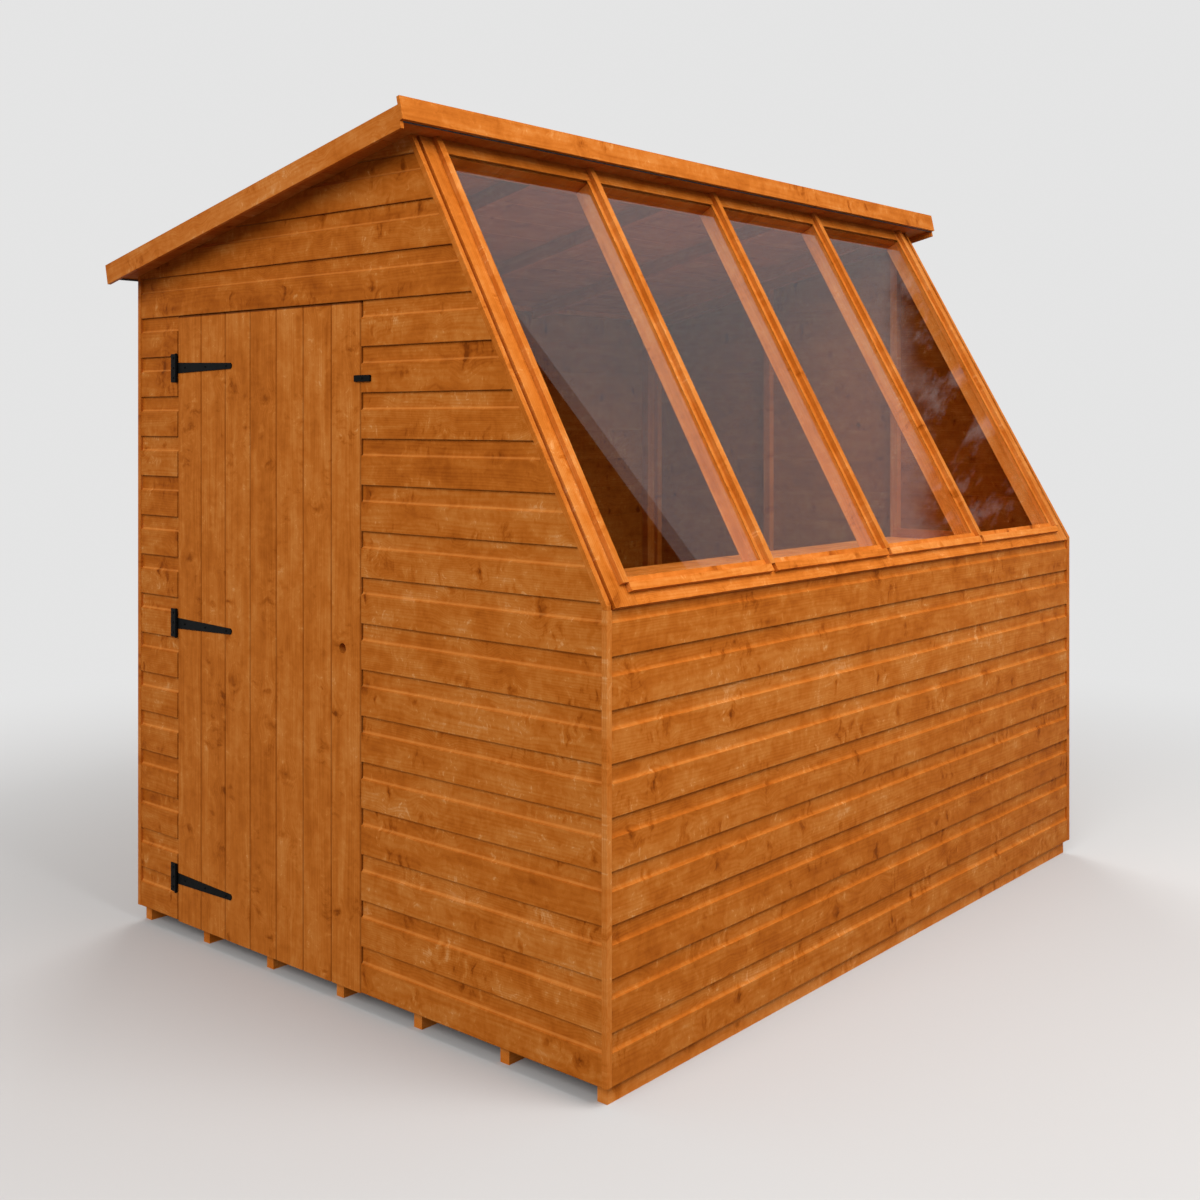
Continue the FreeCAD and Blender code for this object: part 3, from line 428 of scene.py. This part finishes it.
def shiplap_paint(g, colour):
    """Painted shade at the joints and painted highlights on the cove arrises on the outer faces of the
    gables, and brown painted shade on the inner faces.
    """
    x, y, z = g.split(g.place())
    beside, beyond = g.absolute(x), g.absolute(y)
    outside = g.math("GREATER_THAN", beyond, GABLE_FACE - COVE_REACH)
    # Painted shade: a dark line at each joint, under the lip of the board above
    joints = joint_lines(g, z, WALL_FOOT, SHIPLAP_COVER, SHIPLAP_LINE)
    colour = g.mix(g.times(joints, outside), colour, JOINT_SHADE_COLOUR)
    below = g.times(g.fraction(g.times(g.minus(WALL_FOOT, z), 1.0 / SHIPLAP_COVER)), SHIPLAP_COVER)
    # Painted highlight along each cove's arris
    arris_highlight = g.remap(g.absolute(g.minus(below, SHIPLAP_CREST)), *ARRIS_FADE, to_high=ARRIS_STRENGTH)
    colour = g.mix(g.times(arris_highlight, outside), colour, ARRIS_HIGHLIGHT_COLOUR)
    # Painted shade: the inner faces are darkened brown
    inside = g.times(g.math("LESS_THAN", beside, WALL_FACE - INNER_FACE_DEPTH),
                     g.math("LESS_THAN", beyond, GABLE_FACE - INNER_FACE_DEPTH))
    return g.mix(g.times(inside, INSIDE_SHADE_STRENGTH), colour, INSIDE_SHADE_COLOUR)


def door_paint(g, colour):
    """Dark painted shade in the joints between the planks, and a dark painted shadow along the top."""
    place = g.split(g.place())
    # Painted shade in the V joints between the planks
    joints = joint_lines(g, place["X"], DOOR_LOW[0], PLANK_COVER, PLANK_LINE)
    colour = g.mix(joints, colour, JOINT_SHADE_COLOUR)
    # Painted shadow along the door's top edge
    top_shadow = g.line(g.absolute(g.minus(place["Z"], DOOR_HIGH[2])), *TOP_SHADOW_LINE)
    return g.mix(top_shadow, colour, JOINT_SHADE_COLOUR)


CLADDING_STOPS = [
    (0.06, srgb(122, 56, 5)),
    (0.30, srgb(158, 80, 16)),
    (0.52, srgb(180, 98, 28)),
    (0.72, srgb(193, 117, 48)),
    (0.95, srgb(210, 148, 90)),
]
DOOR_STOPS = [
    (0.06, srgb(126, 60, 8)),
    (0.30, srgb(164, 86, 21)),
    (0.52, srgb(187, 105, 35)),
    (0.72, srgb(200, 124, 55)),
    (0.95, srgb(216, 155, 97)),
]
TRIM_STOPS = [
    (0.06, srgb(128, 60, 8)),
    (0.30, srgb(166, 86, 20)),
    (0.52, srgb(189, 105, 34)),
    (0.72, srgb(201, 124, 56)),
    (0.95, srgb(216, 155, 98)),
]
FRAME_STOPS = [
    (0.08, srgb(132, 55, 6)),
    (0.30, srgb(162, 80, 20)),
    (0.52, srgb(181, 98, 33)),
    (0.72, srgb(194, 117, 54)),
    (0.95, srgb(210, 147, 92)),
]
# Pale wood for the bench top and glazing bars, partly brightened as painted light
PALE_LIT_STOPS = [
    (0.08, srgb(172, 82, 14)),
    (0.30, srgb(206, 114, 38)),
    (0.52, srgb(224, 132, 54)),
    (0.72, srgb(231, 148, 74)),
    (0.95, srgb(239, 174, 112)),
]
# Painted light: the sill, apron, lips and floor bearers take the trim's colours brightened by this gain
SILL_LIGHT_GAIN = 1.14
# Painted light: further brightening of the pale wood behind the glass
INSIDE_LIGHT_GAIN = 1.22


def brighter(stops, gain):
    """The same stops with their colours scaled."""
    return [(place, tuple(gain * v for v in colour[:3]) + (1.0,)) for place, colour in stops]


cladding = timber("cladding_timber", CLADDING_STOPS,
                  knot_share=0.4, figure=1.0, streaks=0.34, roughness=0.6, paint=shiplap_paint)
planks = timber("door_timber", DOOR_STOPS,
                knot_share=0.28, figure=0.8, streaks=0.52, roughness=0.6, paint=door_paint)
trim = timber("trim_timber", TRIM_STOPS,
              knot_share=0.3, figure=0.85, streaks=0.42, roughness=0.55)
# Painted light: a brightened copy of the trim
lit_sill_wood = timber("lit_sill_timber", brighter(TRIM_STOPS, SILL_LIGHT_GAIN),
                   knot_share=0.3, figure=0.85, streaks=0.42, roughness=0.55)
framing = timber("framing_timber", FRAME_STOPS,
                 knot_share=0.3, figure=0.8, streaks=0.34, roughness=0.65)
# Pale wood brightened as painted light
pale_lit_wood = timber("pale_lit_timber", brighter(PALE_LIT_STOPS, INSIDE_LIGHT_GAIN),
                   knot_share=0.25, figure=0.9, streaks=0.6, roughness=0.6)


# Ironmongery, glass and felt

IRON_DARK, IRON_DUSTY = srgb(7, 8, 8), srgb(13, 14, 14)
GLASS_TINT = (0.99, 1.0, 0.995, 1.0)
GLASS_SHADOW = (0.9, 0.91, 0.91, 1.0)
FELT_LAP_X = -0.09
FELT_LAP_LINE = 0.005, 1.0
FELT_STOPS = [
    (0.05, srgb(38, 38, 39)),
    (0.40, srgb(66, 66, 67)),
    (0.75, srgb(92, 92, 92)),
    (0.95, srgb(130, 129, 126)),
]
SPECK_SHADE, PATCH_SHADE, UPPER_SHADE, LAP_SHADE = 0.7, 0.5, 0.05, 0.4


def black_iron():
    """Satin black coating with a fine orange-peel texture."""
    material, g = new_material("black_ironmongery")
    place = g.place()
    peel = g.noise(place, detail=2.0, roughness=0.5, scale=900.0)
    dust = g.noise(place, detail=4.0, roughness=0.6, scale=60.0)
    g.output(g.shader("ShaderNodeBsdfPrincipled", {
        "Base Color": g.mix(g.remap(dust, 0.45, 0.75), IRON_DARK, IRON_DUSTY),
        "Roughness": g.remap(dust, 0.3, 0.8, to_low=0.42, to_high=0.6),
        "Normal": g.bump(peel, strength=0.25, distance=0.0002),
        "Specular IOR Level": DULL_SPECULAR}))
    return material


def clear_glass():
    """Thin clear pane that lets lamps through to what is behind it."""
    material, g = new_material("glass")
    pane = g.shader("ShaderNodeBsdfPrincipled", {
        "Base Color": GLASS_TINT, "Roughness": 0.0, "IOR": 1.45, "Transmission Weight": 1.0})
    passing = g.shader("ShaderNodeBsdfTransparent", {"Color": GLASS_SHADOW})
    lamp_ray = g.add("ShaderNodeLightPath").outputs["Is Shadow Ray"]
    g.output(g.blend(lamp_ray, pane, passing))
    return material


def mineral_felt():
    """Grey mineral felt: granules pressed into dark bitumen, in two strips that lap along the roof."""
    material, g = new_material("roof_felt")
    place = g.place()
    grain = g.add("ShaderNodeTexVoronoi", {"Vector": place, "Scale": 620.0}, feature="F1").outputs
    speck = g.add("ShaderNodeSeparateColor", {0: grain["Color"]}).outputs[0]
    patch = g.noise(place, detail=4.0, roughness=0.6, scale=3.5)
    x = g.split(place)[0]
    upper = g.math("GREATER_THAN", x, FELT_LAP_X)
    lap = g.line(g.absolute(g.minus(x, FELT_LAP_X)), *FELT_LAP_LINE)
    shade = g.plus(g.times(speck, SPECK_SHADE), g.times(g.minus(patch, 0.5), PATCH_SHADE))
    shade = g.minus(g.plus(shade, g.times(upper, UPPER_SHADE)), g.times(lap, LAP_SHADE))
    g.output(g.shader("ShaderNodeBsdfPrincipled", {
        "Base Color": g.ramp(shade, FELT_STOPS),
        "Roughness": 0.92,
        "Normal": g.bump(grain["Distance"], strength=0.6, distance=0.0012)}))
    return material


iron = black_iron()
MATERIALS = {
    "cladding_timber": cladding,
    "trim_timber": trim,
    "framing_timber": framing,
    "black_ironmongery": iron,
    "glass": clear_glass(),
    "roof_felt": mineral_felt(),
}
# The bench top and glazing bars take the pale wood brightened with painted light
SPECIAL = {"door_boards": planks, "bench_top": pale_lit_wood}
# The sill parts and floor bearers take the brightened trim, as painted light
SPECIAL.update({name: lit_sill_wood for name in ("glazing_sill", "sill_apron", "sill_lips", "floor_bearers")})
SPECIAL.update({name: pale_lit_wood for name in nodes if name.startswith("glazing_bar_")})


def dress(obj, material):
    """Gives a mesh one material."""
    obj.data.materials.clear()
    obj.data.materials.append(material)


for subpart in frame["record"]["subparts"]:
    node = nodes[subpart["node"]]
    slot = subpart["material_slot"]
    dress(node, SPECIAL.get(subpart["node"], MATERIALS[slot]))
    if slot.endswith("timber"):
        mark_grain(node)


# Screw heads

HEAD_RADIUS = 0.0036
HEAD_RISE = 0.0016
HEAD_ROUNDNESS = 2.6
HEAD_RINGS = 14
HEAD_SIDES = 40
RECESS_DEPTH = 0.0009
RECESS_HALF_WIDTH = 0.0005
RECESS_REACH = 0.0019


def head_height(reach, angle):
    """Rise of a screw head above its seat. The arms of the cross lie at right angles from angle 0."""
    height = HEAD_RISE * math.sqrt(max(0.0, 1 - (reach / HEAD_RADIUS) ** HEAD_ROUNDNESS))
    u, v = abs(reach * math.cos(angle)), abs(reach * math.sin(angle))
    if min(u, v) < RECESS_HALF_WIDTH and max(u, v) < RECESS_REACH:
        height -= RECESS_DEPTH
    return height


def screw_heads(name, node, body):
    """Round heads with a cross recess on every screw of a CAD node."""
    co, labels = solid_labels(nodes[node].data)
    points, faces = [], []
    for label in np.unique(labels):
        low, high = co[labels == label].min(0), co[labels == label].max(0)
        x, z, seat = (low[0] + high[0]) / 2, (low[2] + high[2]) / 2, low[1] + HEAD_RISE
        turn = random.uniform(0, math.pi)
        centre = len(points)
        points.append((x, seat - head_height(0.0, 0.0), z))
        for i in range(1, HEAD_RINGS + 1):
            reach = HEAD_RADIUS * i / HEAD_RINGS
            for j in range(HEAD_SIDES):
                angle = 2 * math.pi * j / HEAD_SIDES
                u, v = reach * math.cos(angle + turn), reach * math.sin(angle + turn)
                points.append((x + u, seat - head_height(reach, angle), z + v))
        first = centre + 1
        last = first + (HEAD_RINGS - 1) * HEAD_SIDES
        for j in range(HEAD_SIDES):
            k = (j + 1) % HEAD_SIDES
            faces.append((centre, first + j, first + k))
            for row in range(first, last, HEAD_SIDES):
                outer = row + HEAD_SIDES
                faces.append((row + j, outer + j, outer + k, row + k))
        faces.append(tuple(reversed(range(last, last + HEAD_SIDES))))
    mesh = bpy.data.meshes.new(name)
    mesh.from_pydata(points, [], faces)
    mesh.update()
    heads = bpy.data.objects.new(name, mesh)
    bpy.context.scene.collection.objects.link(heads)
    dress(heads, iron)
    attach(heads, body)
    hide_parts(node)


screw_heads("plate_screw_heads", "hinge_plate_screws", "shed")
screw_heads("strap_screw_heads", "hinge_strap_screws", "door")
screw_heads("button_screw_head", "turn_button_screw", "shed")


# Stage

BACKGROUND = (0.78, 0.78, 0.78, 1.0)
FLOOR_SEEN = (0.55, 0.55, 0.55, 1.0)
FLOOR_BOUNCE = (0.16, 0.15, 0.14, 1.0)
FLOOR_HALF = 60.0
FLOOR_FADE = 1.5, 4.6


def pale_floor():
    """Wide floor that fades into the background and keeps the object's shadow."""
    material, g = new_material("floor")
    path = g.add("ShaderNodeLightPath").outputs
    seen = g.larger(g.larger(path["Is Camera Ray"], path["Is Glossy Ray"]), path["Is Transmission Ray"])
    pale = g.shader("ShaderNodeBsdfDiffuse", {"Color": FLOOR_SEEN})
    dim = g.shader("ShaderNodeBsdfDiffuse", {"Color": FLOOR_BOUNCE})
    beyond = g.shader("ShaderNodeEmission", {"Color": BACKGROUND, "Strength": 1.0})
    x, y = g.split(g.place())[:2]
    fade = g.times(seen, g.remap(g.length(x, y), *FLOOR_FADE))
    g.output(g.blend(fade, g.blend(seen, dim, pale), beyond))
    mesh = bpy.data.meshes.new("floor")
    corners = [(-1, -1), (1, -1), (1, 1), (-1, 1)]
    mesh.from_pydata([(u * FLOOR_HALF, v * FLOOR_HALF, 0) for u, v in corners], [], [(0, 1, 2, 3)])
    floor = bpy.data.objects.new("floor", mesh)
    bpy.context.scene.collection.objects.link(floor)
    dress(floor, material)


# Light

WARM_WHITE = (1.0, 0.985, 0.97)
LAMP_AIM = Vector((0, 0, 1.0))
DOME_LEVEL, DOME_LEAN_X, DOME_LEAN_Y = 0.52, 0.06, -0.03

# Middles of the mirrored sky's two dark parts, and the directions square to their edges
DOOR_END_SKY = (0.378, 0.757, 0.533)
FAR_END_SKY = (0.235, 0.897, 0.372)
STRAIGHT_EDGE_1 = (0.8139, -0.5364, 0.2233)
STRAIGHT_EDGE_2 = (0.8186, -0.5285, 0.2250)
CLOUD_EDGE = (-0.5897, 0.4660, -0.6596)
STRAIGHT_EDGE_FADE = -0.0005, 0.0005
CLOUD_EDGE_FADE = -0.014, 0.012
CLOUD_EDGE_RAGGED = 0.06


def area_lamp(name, place, size, power):
    """Square lamp aimed at the shed. The glass doesn't mirror it."""
    data = bpy.data.lights.new(name, "AREA")
    data.shape = "RECTANGLE"
    data.size = size
    data.size_y = size
    data.energy = power
    data.color = WARM_WHITE
    lamp = bpy.data.objects.new(name, data)
    lamp.location = place
    lamp.rotation_euler = (LAMP_AIM - Vector(place)).to_track_quat("-Z", "Y").to_euler()
    lamp.visible_glossy = False
    lamp.visible_transmission = False
    bpy.context.scene.collection.objects.link(lamp)


def studio_world():
    """Soft overhead dome for the light, and an even pale background to look at.

    The glass mirrors a pale sky with two dark parts: one with a straight double edge towards the door's end,
    and one with edges of broken cloud towards the far end.
    """
    world = bpy.data.worlds.new("studio")
    bpy.context.scene.world = world
    world.use_nodes = True
    g = Graph(world.node_tree)
    path = g.add("ShaderNodeLightPath").outputs
    mirrored = g.larger(path["Is Glossy Ray"], path["Is Transmission Ray"])
    seen = g.larger(path["Is Camera Ray"], mirrored)
    way = g.add("ShaderNodeTexCoord").outputs["Generated"]
    x, y, z = g.split(way)

    def toward(axis):
        return g.add("ShaderNodeVectorMath", {0: way, 1: axis}, operation="DOT_PRODUCT").outputs["Value"]

    def cone(axis, outer, inner):
        return g.remap(toward(axis), math.cos(math.radians(outer)), math.cos(math.radians(inner)))

    def straight(edge):
        return g.remap(toward(edge), *STRAIGHT_EDGE_FADE)

    door_end = g.times(g.plus(straight(STRAIGHT_EDGE_1), straight(STRAIGHT_EDGE_2)), 0.5)
    door_end = g.times(door_end, cone(DOOR_END_SKY, outer=20, inner=13))
    puff = g.noise(way, detail=6.0, roughness=0.62, scale=16.0)
    wisp = g.noise(g.stretch((x, 30.0), (y, 30.0), (z, 60.0)), detail=5.0, roughness=0.6)
    far_end = g.plus(toward(CLOUD_EDGE), g.times(g.minus(puff, 0.5), CLOUD_EDGE_RAGGED))
    far_end = g.times(g.remap(far_end, *CLOUD_EDGE_FADE), cone(FAR_END_SKY, outer=17, inner=11))
    far_end = g.times(far_end, g.remap(wisp, 0.5, 0.66, to_low=1.0, to_high=0.3))
    dimming = g.remap(y, 0.70, 0.90, to_low=0.98, to_high=0.58)
    sky = g.times(dimming, g.times(g.minus(1.0, door_end), g.minus(1.0, far_end)))
    level = g.plus(g.times(mirrored, sky), g.minus(1.0, mirrored))

    lean = g.plus(DOME_LEVEL, g.plus(g.times(x, DOME_LEAN_X), g.times(y, DOME_LEAN_Y)))
    glow = g.times(lean, g.remap(z, -0.05, 0.12, to_low=0.1, to_high=1.0))
    dome = g.shader("ShaderNodeBackground", {"Color": WARM_WHITE + (1.0,), "Strength": glow})
    pale = g.shader("ShaderNodeBackground", {"Color": BACKGROUND, "Strength": level})
    g.add("ShaderNodeOutputWorld", {0: g.blend(seen, dome, pale)})


# Camera

CAMERA_PLACE = (2.8702, -3.5156, 1.452)
CAMERA_HEADING = math.radians(40.707)
CAMERA_LENS = 43.218
CAMERA_SENSOR = 36.0
CAMERA_SHIFT = -0.1485


def camera():
    """Level camera, shifted so that the shed's uprights stay upright."""
    data = bpy.data.cameras.new("camera")
    data.sensor_width = CAMERA_SENSOR
    data.lens = CAMERA_LENS
    data.shift_y = CAMERA_SHIFT
    view = bpy.data.objects.new("camera", data)
    view.location = CAMERA_PLACE
    view.rotation_euler = (math.radians(90), 0, CAMERA_HEADING)
    bpy.context.scene.collection.objects.link(view)
    bpy.context.scene.camera = view


pale_floor()
area_lamp("front", place=(4.2, -0.1, 5.24), size=3.5, power=300.0)
area_lamp("side", place=(2.2, -8.6, 5.6), size=5.5, power=485.0)
area_lamp("back", place=(-3.6, 3.6, 4.2), size=3.5, power=170.0)
studio_world()
camera()
bpy.context.scene.view_settings.view_transform = "Standard"
